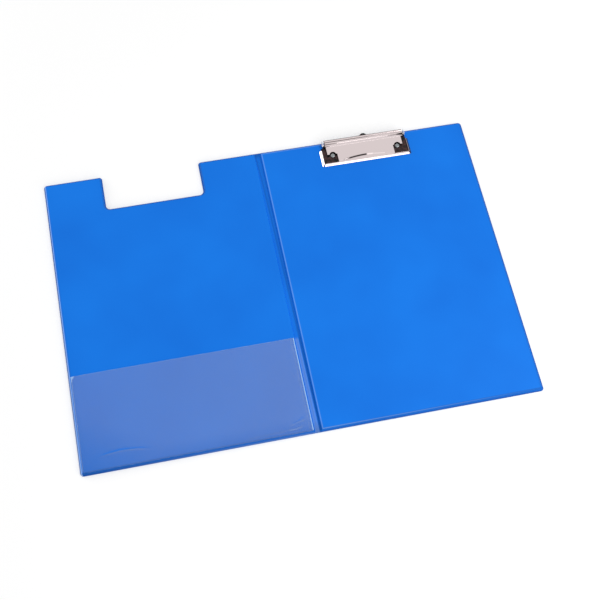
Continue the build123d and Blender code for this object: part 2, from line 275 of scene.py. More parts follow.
def makeShadedBaseSteel(name, look):
    material, tree = newMaterial(name)
    place = addNode(tree, "ShaderNodeTexCoord").outputs["Object"]
    patch = addNode(tree, "ShaderNodeTexNoise", {"Scale": 1 / (look["patch"] * mm), "Detail": 5.0},
                    {"Vector": place})
    mottle = addNode(tree, "ShaderNodeMapRange", fromSpan(*look["patchSpan"]), {"Value": patch})
    colour = addNode(tree, "ShaderNodeMix", {"data_type": "RGBA", 6: look["colour"], 7: look["shadeReflectionColour"]},
                     {"Factor": mottle})
    height = addNode(tree, "ShaderNodeSeparateXYZ", links={"Vector": place}).outputs["Z"]
    span = fromSpan(look["earFrom"] * mm, (look["earFrom"] + look["earFade"]) * mm)
    ear = addNode(tree, "ShaderNodeMapRange", span, {"Value": height})
    # the plating's own bright colour above the ears' height, painted shade below it
    brightAboveShade = addNode(tree, "ShaderNodeMix", {"data_type": "RGBA", 7: look["brightColour"]},
                     {"Factor": ear, 6: colour.outputs[2]})
    rough = addNode(tree, "ShaderNodeMapRange", {
        "To Min": look["roughness"], "To Max": look["brightRoughness"],
    }, {"Value": ear})
    shader = addNode(tree, "ShaderNodeBsdfPrincipled", {"Metallic": 1.0},
                     {"Base Color": brightAboveShade.outputs[2], "Roughness": rough})
    return closeMaterial(material, shader)


blueSheet = makeBluePvc("calenderedBluePvc", bluePvc)
paperBoard = makeGreyboard("pressedGreyboard", greyboard)
pocketFilm = makeClearFilm("clearPvcFilm", clearFilm)
nickel = makeNickel("brightNickelPlatedSteel", brightNickel)
shadePaintedSteel = makeShadedBaseSteel("baseSteelPaintedInShade", shadedBaseSteel)
shadeDarkenedRivetSteel = makeNickel("rivetSteelDarkenedForShade", rivetSteel)
print("materials made")


# Outline of the two boards as they lie open
boards = {
    "left": -227.95,
    "right": 227.95,
    "bottom": -160.85,
    "top": 157.15,
    "radius": 3.2,
    "notchLeft": -167.3,
    "notchRight": -64.3,
    "notchFloor": 117.65,
    "notchInnerRadius": 4.5,
    "notchOuterRadius": 3.0,
}

# Shapes that several pieces use. Edges that turn by more than this many degrees are shaded sharp
sharpFrom = 40


def unit(value):
    return min(max(value, 0), 1)


# A smooth rise from 0 to 1
def eased(value):
    share = unit(value)
    return share * share * (3 - 2 * share)


def finishMesh(mesh):
    shape = bmesh.new()
    shape.from_mesh(mesh)
    bmesh.ops.recalc_face_normals(shape, faces=shape.faces)
    shape.to_mesh(mesh)
    shape.free()
    mesh.shade_smooth()


def barePiece(name, points, edges, faces):
    mesh = bpy.data.meshes.new(name)
    mesh.from_pydata([(x * mm, y * mm, z * mm) for x, y, z in points], edges, faces)
    return addObject(name, mesh)


def meshPiece(name, points, faces, material):
    piece = barePiece(name, points, [], faces)
    piece.data.materials.append(material)
    finishMesh(piece.data)
    return piece


# The faces between closed rows of equally many points
def rowFaces(rows, size):
    faces = []
    for row in range(rows - 1):
        for index in range(size):
            following = (index + 1) % size
            faces.append((row * size + index, row * size + following,
                          (row + 1) * size + following, (row + 1) * size + index))
    return faces


def prism(outline, low, high):
    count = len(outline)
    points = [(x, y, z) for z in (low, high) for x, y in outline]
    return points, rowFaces(2, count) + [tuple(range(count)), tuple(range(count, 2 * count))]


def joined(parts):
    points, faces = [], []
    for more, polygons in parts:
        faces += [tuple(index + len(points) for index in polygon) for polygon in polygons]
        points += more
    return points, faces


def arc(x, y, radius, start, end, steps):
    angles = [radians(start + (end - start) * step / steps) for step in range(steps + 1)]
    return [(x + radius * cos(angle), y + radius * sin(angle)) for angle in angles]


# Gives a piece the mesh that its modifiers make, and takes them away
def convert(piece):
    graph = bpy.context.evaluated_depsgraph_get()
    old = piece.data
    piece.data = bpy.data.meshes.new_from_object(piece.evaluated_get(graph))
    piece.modifiers.clear()
    bpy.data.meshes.remove(old)


# Cuts solids, as points and faces, out of a piece
def carve(piece, solids, material):
    cutter = meshPiece("cutter", *joined(solids), material)
    cut = piece.modifiers.new("cut", "BOOLEAN")
    cut.operation = "DIFFERENCE"
    cut.solver = "EXACT"
    cut.object = cutter
    convert(piece)
    bpy.data.objects.remove(cutter)


# Places up the spine where the sheets get points, as shares of its length from the bottom
spineStations = [0.04, 0.1, 0.17, 0.24, 0.29, 0.305, 0.31, 0.315, 0.32, 0.34, 0.4, 0.5, 0.6, 0.7, 0.78, 0.84,
                 0.89, 0.93, 0.96, 0.98]
smallestBend = 0.05


def sign(value):
    return (value > 0) - (value < 0)


# An outline drawn in by one inset at its outer edges and another along the spine, its corners rounded
def insetLoop(corners, outer, spine, steps):
    points = []
    for index, (x, y, radius, kinds) in enumerate(corners):
        before, after = corners[index - 1], corners[(index + 1) % len(corners)]
        along = (sign(x - before[0]), sign(y - before[1]))
        onward = (sign(after[0] - x), sign(after[1] - y))
        turn = along[0] * onward[1] - along[1] * onward[0]
        first, second = [spine if alongSpine else outer for alongSpine in kinds]
        bend = max(radius - turn * outer, smallestBend)
        centreX = x - along[1] * first - onward[1] * second + (onward[0] - along[0]) * bend
        centreY = y + along[0] * first + onward[0] * second + (onward[1] - along[1]) * bend
        for step in range(steps + 1):
            angle = radians(90) * step / steps
            back, on = bend * cos(angle), bend * sin(angle)
            points.append((centreX - onward[0] * back + along[0] * on,
                           centreY - onward[1] * back + along[1] * on))
        if kinds[1]:
            height = after[1] - y
            shares = spineStations if height > 0 else [1 - share for share in spineStations[::-1]]
            points += [(points[-1][0], y + height * share) for share in shares]
    return points


# One value per point, worked out from its place in millimetres
def paint(piece, name, rule):
    values = piece.data.attributes.new(name, "FLOAT", "POINT")
    for vertex in piece.data.vertices:
        values.data[vertex.index].value = rule(*(vertex.co / mm))


# Distance of a point inside the boards' outer edges and the notch's
def edgeDistance(x, y):
    outer = min(boards["right"] - abs(x), boards["top"] - y, y - boards["bottom"])
    if x < 0:
        radius = boards["notchInnerRadius"]
        besides = max(boards["notchLeft"] - x, x - boards["notchRight"]) + radius
        below = boards["notchFloor"] - y + radius
        outer = min(outer, hypot(max(besides, 0), max(below, 0)) - radius)
    return outer


# 1 up to a limit and 0 beyond it, with a soft edge
def upTo(value, limit, soft):
    return unit((limit - value) / soft + 0.5)


# 1 between two limits, with soft edges
def band(value, low, high, soft):
    return min(upTo(value, high, soft), upTo(-value, -low, soft))


# Lines of the blue sheets: painted shade darkens the edges, the spine's valley and web and the folds beside
# the pocket, and painted highlights lighten the edges and strips that face the light
lines = {
    "pocketTop": (-61.0, 1.5),
    "leftRim": -226.0,
    "coverTo": -5.0,
    "webTop": 0.5,
    "outerTop": 0.3,
    # painted shade along the edges: strength, distance from the edge, softness
    "rim": (0.8, 0.85, 0.5),
    "turn": (0.5, 2.3, 1.2),
    "boardFoot": (0.5, 3.2, 0.6),
    "coverFoot": (0.85, 2.2, 0.5),
    # painted shade across the spine: strength, from, to, softness. The valley, the cover edge's painted
    # shadow, lies round the bend and the web from it
    "valleyShadow": (0.4, -0.9, 0.8, 0.7),
    "valleyShadowByPocket": 0.12,
    "web": (0.14, -0.4, 4.0, 0.5),
    "folds": [(0.6, -3.6, -3.1, 0.3), (0.5, -1.4, -0.7, 0.5)],
    # painted highlight: strength, from, to, softness. The strip ends beside the bend
    "highlightRim": (0.45, 0.85, 1.75, 0.4),
    "highlightRimByPocket": (0.55, 0.4, 1.75, 0.4),
    "shoulder": (0.3, 4.2, 4.9, 0.4),
    "strip": (0.18, -3.1, -1.4, 0.5),
    # the bend wanders across the spine from the top of the boards to the bottom: place, reach, curve
    "bend": (-3.0, 5.6, 0.45),
}


def bendAt(y):
    start, reach, curve = lines["bend"]
    share = max((boards["top"] - y) / (boards["top"] - boards["bottom"]), 0)
    return start + reach * share ** curve


def edgeLine(name, distance):
    strength, width, soft = lines[name]
    return strength * upTo(distance, width, soft)


def bandLine(line, value):
    strength, low, high, soft = line
    return strength * band(value, low, high, soft)


# Painted shade on the blue sheets: along their edges, in the spine's valley and web, and on the folds beside
# the pocket
def paintedSheetShadeAt(x, y, z):
    edge = edgeDistance(x, y)
    foot = y - boards["bottom"]
    rim = edgeLine("rim", edge)
    if x > lines["leftRim"]:
        rim = max(rim, edgeLine("turn", edge))
        if z > lines["webTop"]:
            rim = max(rim, edgeLine("boardFoot", foot))
    if x < lines["coverTo"]:
        rim = max(rim, edgeLine("coverFoot", foot))
    if z <= lines["outerTop"]:
        return rim
    bend = bendAt(y)
    besidePocket = upTo(y, *lines["pocketTop"])
    strength, low, high, soft = lines["valleyShadow"]
    valleyShadow = (strength + lines["valleyShadowByPocket"] * besidePocket) * band(x - bend, low, high, soft)
    strength, low, high, soft = lines["web"]
    web = strength * band(x, bend + low, high, soft)
    folds = besidePocket * sum(bandLine(line, x) for line in lines["folds"])
    return max(rim, valleyShadow, web, folds)


# Painted highlight on the blue sheets: on the spine's shoulder, along the left edge and on the strip beside
# the pocket
def paintedSheetHighlightAt(x, y, z):
    if z < lines["outerTop"]:
        return 0.0
    besidePocket = upTo(y, *lines["pocketTop"])
    value = bandLine(lines["shoulder"], x)
    if x < lines["leftRim"]:
        edge = edgeDistance(x, y)
        value = max(value, bandLine(lines["highlightRim"], edge),
                    besidePocket * bandLine(lines["highlightRimByPocket"], edge))
    strength, low, high, soft = lines["strip"]
    return max(value, strength * besidePocket * band(x, low, bendAt(y) + high, soft))


# A closed body lofted through rows of (outer inset, spine inset, height), capped at both ends
def loftedSheet(name, corners, rows, material, steps=8):
    points = []
    for outer, spine, height in rows:
        points += [(x, y, height) for x, y in insetLoop(corners, outer, spine, steps)]
    size = len(points) // len(rows)
    faces = rowFaces(len(rows), size)
    faces.append(tuple(range(size)))
    faces.append(tuple(range((len(rows) - 1) * size, len(rows) * size)))
    return meshPiece(name, points, faces, material)


# Corners in turn, anticlockwise: place, radius, and which of the two edges lie along the spine
left, right, bottom, top = [boards[side] for side in ("left", "right", "bottom", "top")]
notchLeft, notchRight, notchFloor = boards["notchLeft"], boards["notchRight"], boards["notchFloor"]
radius, inner, outer = boards["radius"], boards["notchInnerRadius"], boards["notchOuterRadius"]
spineCorner = 0.06
rearCorners = [
    (0.0, bottom, spineCorner, (True, False)),
    (right, bottom, radius, (False, False)),
    (right, top, radius, (False, False)),
    (0.0, top, spineCorner, (False, True)),
]
coverCorners = [
    (left, bottom, radius, (False, False)),
    (0.0, bottom, spineCorner, (False, True)),
    (0.0, top, spineCorner, (True, False)),
    (notchRight, top, outer, (False, False)),
    (notchRight, notchFloor, inner, (False, False)),
    (notchLeft, notchFloor, inner, (False, False)),
    (notchLeft, top, outer, (False, False)),
    (left, top, radius, (False, False)),
]

# Skins: the inner sheet is drawn over the boards and welded to the outer one in a narrow rim
skins = {
    "thickness": 0.35,
    "gap": 0.01,
    "round": 0.1,
    "rim": 0.8,
    "web": 2.9,
    "lift": 2.3,
    "rimShares": (0.08, 0.16, 0.24, 0.32, 0.4, 0.48, 0.56, 0.64, 0.72, 0.8, 0.88, 0.94),
    # from the rim inward: outer inset, spine inset, height
    "rise": [(0.0, 0.0, 0.0), (0.15, 0.1, 0.08), (0.42, 0.28, 0.7), (0.62, 0.42, 1.25), (0.82, 0.6, 1.7),
             (1.1, 0.85, 2.02), (1.45, 1.2, 2.2), (1.9, 1.65, 2.28), (2.4, 2.1, 2.3), (3.0, 2.7, 2.3)],
    # inside of the sheet: insets of its foot and its wall past the outside, and how far in it ends
    "footInset": 0.25,
    "webInset": 0.2,
    "wall": 0.3,
    "inside": 4.0,
    # the outer sheet's edge: outer inset, spine inset
    "edge": [(3.0, 4.0), (1.4, 3.2), (0.6, 2.4), (0.3, 1.2), (0.1, 0.0)],
    "face": [(0.6, 1.6), (1.2, 2.4), (1.4, 3.2), (3.0, 4.0)],
    "edgeRound": 0.08,
}


def innerRows():
    thick, rim, web, lift = skins["thickness"], skins["rim"], skins["web"], skins["lift"]
    base, under = 2 * thick, thick + skins["gap"]
    bend, wall, inside = skins["round"], skins["wall"], skins["inside"]
    upper = [(0.0, 0.0, under), (0.0, 0.0, base - bend), (bend, 0.0, base)]
    upper += [(bend + (rim - bend) * share, web * share, base) for share in skins["rimShares"]]
    upper += [(rim + outer, web + spine, base + height) for outer, spine, height in skins["rise"]]
    lower = [(rim + skins["footInset"], web + skins["webInset"], under)]
    lower += [(rim + outer + wall, web + spine + wall, base + min(height, lift) - thick)
              for outer, spine, height in skins["rise"][2:]]
    lower.append((rim + inside, web + inside, base + lift - thick))
    return upper[::-1] + lower


def outerRows():
    thick = skins["thickness"]
    rows = [(outer, spine, 0.0) for outer, spine in skins["edge"]]
    rows += [(0.0, 0.0, skins["edgeRound"]), (0.0, 0.0, thick)]
    return rows + [(outer, spine, thick) for outer, spine in skins["face"]]


innerSheetRear = loftedSheet("innerSheetRear", rearCorners, innerRows(), blueSheet)
innerSheetCover = loftedSheet("innerSheetCover", coverCorners, innerRows(), blueSheet)
outerSheetRear = loftedSheet("outerSheetRear", rearCorners, outerRows(), blueSheet)
outerSheetCover = loftedSheet("outerSheetCover", coverCorners, outerRows(), blueSheet)
sheets = (innerSheetRear, innerSheetCover, outerSheetRear, outerSheetCover)
for piece in sheets:
    # painted shade and painted highlights of the blue sheets
    paint(piece, "weld", paintedSheetShadeAt)
    paint(piece, "paintedSheetHighlight", paintedSheetHighlightAt)

# Cores: greyboard inside the sheets, a little smaller than the boards
# outer inset, spine inset, height
coreRows = [(2.0, 4.6, 0.37), (2.0, 4.6, 2.2), (2.4, 5.0, 2.62)]
rearCore = loftedSheet("rearGreyboard", rearCorners, coreRows, paperBoard, steps=6)
coverCore = loftedSheet("coverGreyboard", coverCorners, coreRows, paperBoard, steps=6)
print("boards and sheets made")


# Holes down through the board for the rivets' sleeves, wider below for their backs
rivetHoles = {"places": (79.6, 151.2), "y": 138.55, "sleeve": 2.3, "back": 4.1, "recess": 0.8, "sides": 40}


def drill(piece, radius, low, high):
    rods = []
    for x in rivetHoles["places"]:
        outline = arc(x, rivetHoles["y"], radius, 0, 360, rivetHoles["sides"])[:-1]
        rods.append(prism(outline, low, high))
    carve(piece, rods, paperBoard)
    piece.data.set_sharp_from_angle(angle=radians(sharpFrom))


# piece, radius, from, to: each rod reaches past the faces that it cuts
for piece, radius, low, high in (
    (innerSheetRear, rivetHoles["sleeve"], 1.0, 4.0),
    (outerSheetRear, rivetHoles["back"], -1.0, 0.5),
    (rearCore, rivetHoles["sleeve"], 0.5, 4.0),
    (rearCore, rivetHoles["back"], 0.0, rivetHoles["recess"]),
):
    drill(piece, radius, low, high)

for piece in (innerSheetRear, outerSheetRear):
    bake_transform(piece)
for piece in (innerSheetCover, outerSheetCover):
    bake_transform(piece)
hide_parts("rear_board_inner_skin", "spine_inner_skin")
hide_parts("front_cover_inner_skin", "spine_inner_skin")
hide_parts("rear_board_outer_skin", "spine_outer_skin")
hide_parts("front_cover_outer_skin", "spine_outer_skin")
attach(rearCore, "rear_board")
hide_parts("rear_board_core")
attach(coverCore, "front_cover")
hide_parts("front_cover_core")

# Clear pocket across the bottom of the cover
pocket = {
    "left": -225.45,
    "right": -4.35,
    "bottom": -158.85,
    "height": 97.7,
    "film": 0.25,
    "board": 3.0,
    "gap": 0.02,
    "mouth": 0.3,
    "weld": 2.5,
    "radius": 2.0,
    # start and length of its rise and place of its bead, in widths of the weld
    "rise": (0.72, 0.5),
    "bead": 0.42,
    "beadHalf": 0.32,
    "beadHeight": 0.22,
    # spacing of its points: by the edges, across, up, reach of the edges, and where the ripples lie
    "fine": 0.2,
    "across": 1.6,
    "up": 3.0,
    "edge": 4.0,
    "rippleRows": (4.0, 21.0, 0.4),
    "haze": 0.112,
    # the haze grows from left to right, a painted sheen
    "hazeAndSheenSpan": (0.86, 0.26),
    # painted highlight lines along the left, right and upper edge and inside the right one: strength and
    # reach, and where they end, in reaches
    "edgeLines": [(0.25, 0.6), (0.62, 0.8), (0.09, 0.5), (0.05, 0.4)],
    "edgeEnd": 1.5,
    "innerLine": 3.4,
    # painted highlight on the upper left corner: size, fade, slant, strength
    "corner": (4.5, 1.5, 0.8, 0.4),
    "milkiest": 0.95,
    "ripples": [
        # painted highlights along ripples, painted shade where the strength is below nought: from right, up
        # to right, up, sag, width, strength, in the film's own plan
        (14.0, 11.6, 67.0, 11.0, -3.5, 0.8, 0.07), (14.0, 13.2, 67.0, 12.6, -3.5, 0.8, -0.085),
        (196.0, 5.0, 214.0, 7.5, 1.5, 0.7, 0.09), (198.0, 8.0, 216.0, 12.0, -1.0, 0.7, 0.08),
        (200.0, 10.0, 216.0, 17.0, 1.0, 0.7, -0.07), (150.0, 2.6, 212.0, 4.6, -0.5, 0.7, 0.05),
    ],
    "rippleEnd": 0.2,
    # painted shade on the lower left corner: reach to the right, reach up, strength, and the same along the
    # foot
    "shadeCorner": (110, 60, 0.9),
    "shadeFoot": (14, 0.5),
}


# Places from start to end, near each other by both ends and further apart between
def spread(start, end, near, far, edge):
    values = []
    place = start
    while place < start + edge - 1e-6:
        values.append(place)
        place += near
    inner = end - edge
    count = max(1, round((inner - place) / far))
    values += [place + (inner - place) * index / count for index in range(count + 1)]
    place = inner + near
    while place < end - 1e-6:
        values.append(place)
        place += near
    values.append(end)
    return values


def filmHeight(x, y):
    weld = pocket["weld"]
    fromSide = min(x - pocket["left"], pocket["right"] - x, y - pocket["bottom"])
    start, length = pocket["rise"]
    rise = pocket["mouth"] * eased((fromSide - weld * start) / (weld * length))
    beadAt = (fromSide - weld * pocket["bead"]) / pocket["beadHalf"]
    return pocket["board"] + pocket["gap"] + rise + pocket["beadHeight"] * exp(-beadAt ** 2)


# How milky the film is, with a painted sheen growing to the right and painted highlights along its edges,
# upper left corner and ripples, worked out from strokes in the film's own plan
def hazeAndHighlightsAt(x, y, z):
    right, up = x - pocket["left"], y - pocket["bottom"]
    fromRight, fromTop = pocket["right"] - x, pocket["height"] - up
    base, growth = pocket["hazeAndSheenSpan"]
    value = pocket["haze"] * (base + growth * right / (pocket["right"] - pocket["left"]))
    distances = (right, fromRight, fromTop, abs(fromRight - pocket["innerLine"]))
    for distance, (strength, reach) in zip(distances, pocket["edgeLines"]):
        value += strength * unit(pocket["edgeEnd"] - distance / reach)
    size, fade, slant, strength = pocket["corner"]
    value += strength * unit((size - right - fromTop * slant) / fade)
    end = pocket["rippleEnd"]
    for x1, y1, x2, y2, sag, wide, strength in pocket["ripples"]:
        share = (right - x1) / (x2 - x1)
        if 0 < share < 1:
            line = y1 + (y2 - y1) * share - sag * 4 * share * (1 - share)
            value += strength * exp(-((up - line) / wide) ** 2) * min(share, 1 - share, end) / end
    return min(value, pocket["milkiest"])


# Painted shade on the film: darkest in its lower left corner and along its foot
def filmShadeAt(x, y, z):
    right, up = x - pocket["left"], y - pocket["bottom"]
    across, upward, strength = pocket["shadeCorner"]
    reach, footStrength = pocket["shadeFoot"]
    return max(strength * unit(1 - (right / across + up / upward)), footStrength * unit((reach - up) / reach))


def makePocket():
    left, right, bottom, radius = [pocket[name] for name in ("left", "right", "bottom", "radius")]
    top = bottom + pocket["height"]
    across = spread(left, right, pocket["fine"], pocket["across"], pocket["edge"])
    upward = spread(bottom, top, pocket["fine"], pocket["up"], pocket["edge"])
    low, high, step = pocket["rippleRows"]
    upward = [y for y in upward if not bottom + low < y < bottom + high]
    upward = sorted(upward + [bottom + low + step * i for i in range(1, int((high - low) / step))])
    points = []
    for x in across:
        for y in upward:
            px, py = x, y
            for side in (left, right):
                centre = side + copysign(radius, (left + right) / 2 - side)
                a = (x - centre) / (side - centre)
                b = (bottom + radius - y) / radius
                if a > 0 and b > 0:
                    px = centre + (side - centre) * a * sqrt(1 - b * b / 2)
                    py = bottom + radius - radius * b * sqrt(1 - a * a / 2)
            points.append((px, py, filmHeight(x, y)))
    rows = len(upward)
    count = len(points)
    points += [(x, y, z + pocket["film"]) for x, y, z in points]
    faces = []
    for i in range(len(across) - 1):
        for j in range(rows - 1):
            a, b, c, d = i * rows + j, (i + 1) * rows + j, (i + 1) * rows + j + 1, i * rows + j + 1
            faces += [(a, d, c, b), (a + count, b + count, c + count, d + count)]
    border = [i * rows for i in range(len(across))]
    border += [(len(across) - 1) * rows + j for j in range(1, rows)]
    border += [i * rows + rows - 1 for i in range(len(across) - 2, -1, -1)]
    border += list(range(rows - 2, 0, -1))
    for index, a in enumerate(border):
        b = border[(index + 1) % len(border)]
        faces.append((a, b, b + count, a + count))
    film = meshPiece("clearPocketFilm", points, faces, pocketFilm)
    paint(film, "hazeAndHighlights", hazeAndHighlightsAt)
    paint(film, "filmShade", filmShadeAt)
    return film


clearPocket = makePocket()
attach(clearPocket, "front_cover")
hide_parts("clear_pocket")
print("pocket made")

# Clip: one strip of steel sheet bent into lip, plateau, roll and lever, seen as a section along Y
jaw = {
    "middle": 115.4,
    "halfWidth": 49.2,
    "steel": 0.6,
    "section": [
        # y, z, bend radius of the middle of the sheet
        (126.95, 3.1, 0.0), (128.4, 4.95, 0.6), (148.8, 5.5, 0.6), (150.65, 8.6, 0.7), (151.5, 8.8, 1.0),
        (152.4, 8.5, 0.9), (153.7, 7.9, 0.6), (154.75, 8.45, 0.7), (155.55, 8.05, 0.5), (155.75, 7.6, 0.0),
    ],
    "strip": 4.95,
    "plateau": 5.5,
    "spacing": 0.35,
    "stations": 96,
    "fade": 0.6,
    "archFoot": 128.7,
    "archRise": 4.0,
    "archPower": 1.9,
    "archStep": 0.9,
    "windowInner": 30.9,
    "windowFront": 128.95,
    "windowOuter": 41.6,
    "lever": 43.4,
    "leverShift": 0.6,
    "plateauRear": 148.85,
    "rivetX": 35.8,
    "rivetY": 138.55,
    "windowRear": 139.25,
    "access": 3.6,
    "headX": 47.0,
    "headY": 128.45,
    "footX": 48.9,
    "wallInner": 46.6,
    "wallRear": 145.55,
    "wallFront": 126.65,
    "mitreLipCut": {-1: 1.7, 1: 0.9},
    "mitreWallCut": 0.1,
    "mitreRoot": 0.5,
    "mitreReach": 9.0,
    "cutRear": 162.0,
    "cutHeights": (1.0, 13.0),
    "notchSides": 24,
    "wallFoot": 3.1,
    "wallBend": 0.5,
    "wallSpacing": 0.3,
    "wallRows": 12,
    "wallWave": (0.25, 1.1),
    "tabX": 41.9,
    "tab": 1.9,
    "tabTop": 8.5,
    "tabFront": 150.5,
    "tabRear": 152.2,
    "tabSides": 48,
    "pinY": 151.7,
    "pinZ": 5.8,
    "pinHole": 1.07,
    "sharpFrom": 32,
    "paintedShading": [
        # from x, y to x, y, half width at each end, strength: painted shade and painted dark reflections in
        # bends and along edges, and below nought painted highlights on the plate
        (-43.0, 155.6, 44.0, 155.6, 0.5, 0.5, 0.75), (-43.0, 152.8, 4.0, 152.9, 0.35, 0.2, 0.62),
        (-43.0, 150.3, -29.0, 150.3, 0.35, 0.12, 0.85), (-43.0, 149.0, -37.0, 148.9, 0.3, 0.1, 0.85),
        (4.0, 152.9, 44.0, 153.0, 0.15, 0.15, 0.3),
        (43.9, 150.1, 37.5, 150.2, 0.8, 0.35, 0.99), (37.5, 150.2, 27.0, 149.9, 0.3, 0.15, 0.6),
        (40.0, 151.9, 28.0, 151.5, 0.3, 0.1, 0.4), (47.9, 126.0, 47.9, 146.0, 1.1, 1.1, 0.8),
        (-42.8, 149.6, -42.8, 155.4, 0.35, 0.35, 0.95), (-48.4, 126.7, -46.4, 129.0, 0.3, 0.3, 0.9),
        (1.5, 133.1, 6.5, 132.9, 0.6, 0.6, -0.45), (6.5, 132.9, 20.0, 131.4, 0.35, 0.3, -0.3),
    ],
    # painted shade along the arch's crease: from, to, half width, strength, and how far it takes to fade in
    "archGrime": (-27.0, 0.4, 0.62, 0.97, 9.0),
    # where the painted shading and the arch's painted shade end, in half widths
    "paintedShadingEnd": 1.6,
    "archGrimeEnd": 1.8,
}


bendStep = 9


# The middle line of a bent strip: corners rounded by their radii, a point for each bendStep degrees
def bentLine(corners, spacing):
    line = [Vector(corners[0][:2])]
    for index in range(1, len(corners) - 1):
        x, y, radius = corners[index]
        here = Vector((x, y))
        before = (Vector(corners[index - 1][:2]) - here).normalized()
        after = (Vector(corners[index + 1][:2]) - here).normalized()
        half = before.angle(after) / 2
        reach = radius / tan(half)
        centre = here + (before + after).normalized() * (radius / sin(half))
        start = here + before * reach - centre
        end = here + after * reach - centre
        sweep = start.angle_signed(end)
        count = max(2, round(abs(sweep) / radians(bendStep)))
        for step in range(count + 1):
            angle = -sweep * step / count
            line.append(centre + Matrix.Rotation(angle, 2) @ start)
    line.append(Vector(corners[-1][:2]))
    fine = [line[0]]
    for a, b in zip(line, line[1:]):
        pieces = max(1, round((b - a).length / spacing))
        fine += [a.lerp(b, step / pieces) for step in range(1, pieces + 1)]
    return fine


# A closed loop round a line: its left side out, then its right side back
def sheetLoop(line, thickness):
    left, right = [], []
    for index, point in enumerate(line):
        before = line[max(index - 1, 0)]
        after = line[min(index + 1, len(line) - 1)]
        along = (after - before).normalized()
        side = Vector((-along.y, along.x)) * thickness / 2
        left.append(point + side)
        right.append(point - side)
    return left + right[::-1]


# A body swept through equal loops of points, capped at both ends
def sweptLoops(loops):
    points = [point for loop in loops for point in loop]
    size = len(loops[0])
    faces = rowFaces(len(loops), size)
    for first in (0, (len(loops) - 1) * size):
        last = first + size - 1
        faces += [(first + i, first + i + 1, last - 1 - i, last - i) for i in range(size // 2 - 1)]
    return points, faces


def archLine(x):
    across = min(abs(x) / jaw["windowInner"], 1.0)
    return across, jaw["archFoot"] + jaw["archRise"] * (1 - across ** jaw["archPower"])


# Height of the plate behind the lip: a flat arch is embossed in it, a soft step up to the plateau
def archHeight(x, y):
    across, line = archLine(x)
    step = jaw["archStep"] * (1 + 2 * across ** 3)
    return jaw["strip"] + (jaw["plateau"] - jaw["strip"]) * eased((y - line) / step)


# The bent sheet from lip to lever, before it is cut
def jawSheet():
    middle, head, rear = jaw["middle"], jaw["headY"], jaw["plateauRear"]
    strip, rise, fade = jaw["strip"], jaw["plateau"] - jaw["strip"], jaw["fade"]
    line = bentLine(jaw["section"], jaw["spacing"])
    count = jaw["stations"]
    loops = []
    for step in range(-count, count + 1):
        x = jaw["halfWidth"] * step / count
        bent = []
        for point in line:
            flat = strip + rise * (point.x - head) / (rear - head)
            inside = unit((point.x - head) / fade) * unit((rear - point.x) / fade)
            lift = (archHeight(x, point.x) - flat) * inside
            bent.append(Vector((point.x, point.y + lift)))
        loops.append([(middle + x, y, z) for y, z in sheetLoop(bent, jaw["steel"])])
    return sweptLoops(loops)


# What is cut away on one side: the window with its round notch, the mitre, and the sheet beside the lever
def jawCut(side):
    head, rear, windowRear = jaw["headY"], jaw["plateauRear"], jaw["windowRear"]
    lever = jaw["lever"] + side * jaw["leverShift"]
    run = Vector((jaw["footX"] - jaw["headX"], jaw["section"][0][0] - head)).normalized()
    corner = Vector((jaw["headX"], head - jaw["mitreLipCut"][side]))
    root, end = corner - run * jaw["mitreRoot"], corner + run * jaw["mitreReach"]
    outline = [(jaw["windowInner"], jaw["windowFront"]), (root.x, jaw["windowFront"]),
               (root.x, root.y), (end.x, end.y), (end.x, jaw["cutRear"]), (lever, jaw["cutRear"]),
               (lever, rear), (jaw["windowOuter"], rear), (jaw["windowOuter"], windowRear)]
    above = degrees(asin((windowRear - jaw["rivetY"]) / jaw["access"]))
    outline += arc(jaw["rivetX"], jaw["rivetY"], jaw["access"], above, 180 - above, jaw["notchSides"])
    outline.append((jaw["windowInner"], windowRear))
    return prism([(jaw["middle"] + side * x, y) for x, y in outline], *jaw["cutHeights"])


# A side wall, bent down from the strip, its front end cut to the mitre
def jawWall(side):
    head, foot = jaw["headY"], jaw["wallFoot"]
    profile = bentLine([(jaw["wallInner"], jaw["strip"], 0),
                        (jaw["headX"], jaw["strip"], jaw["wallBend"]),
                        (jaw["footX"], foot, 0)], jaw["wallSpacing"])
    loop = sheetLoop(profile, jaw["steel"])
    slope = (head - jaw["section"][0][0]) / (jaw["footX"] - jaw["headX"])
    depth, pitch = jaw["wallWave"]
    count = jaw["wallRows"]
    rows = []
    for step in range(count + 1):
        row = []
        for x, z in loop:
            mitre = head + jaw["mitreWallCut"] - (x - jaw["headX"]) * slope
            front = max(mitre, jaw["wallFront"])
            rear = jaw["wallRear"] + depth * sin((x - jaw["wallInner"]) * pitch)
            row.append((jaw["middle"] + side * x, front + (rear - front) * step / count, max(z, foot)))
        rows.append(row)
    return sweptLoops(rows)


# A tab that hangs from the roll and turns on the pin, round below and filling the roll's inside above
def jawTab(side):
    pinY, pinZ, count = jaw["pinY"], jaw["pinZ"], jaw["tabSides"]
    points = []
    for depth in (-jaw["steel"] / 2, jaw["steel"] / 2):
        x = jaw["middle"] + jaw["leverShift"] + side * jaw["tabX"] + depth
        outer, inner = [], []
        for step in range(count):
            angle = 2 * pi * step / count
            dy, dz = cos(angle), sin(angle)
            reach, hole = jaw["tab"], jaw["pinHole"]
            if dz > 0.2:
                limit = (jaw["tabTop"] - pinZ) / dz
                if abs(dy) > 0.05:
                    limit = min(limit, (jaw["tabRear" if dy > 0 else "tabFront"] - pinY) / dy)
                reach = max(reach, limit)
            outer.append((x, pinY + dy * reach, pinZ + dz * reach))
            inner.append((x, pinY + dy * hole, pinZ + dz * hole))
        points += outer + inner
    faces = []
    for i in range(count):
        j = (i + 1) % count
        faces += [(a + i, a + j, b + j, b + i) for a, b in
                  ((0, count), (3 * count, 2 * count), (2 * count, 0), (count, 3 * count))]
    return points, faces


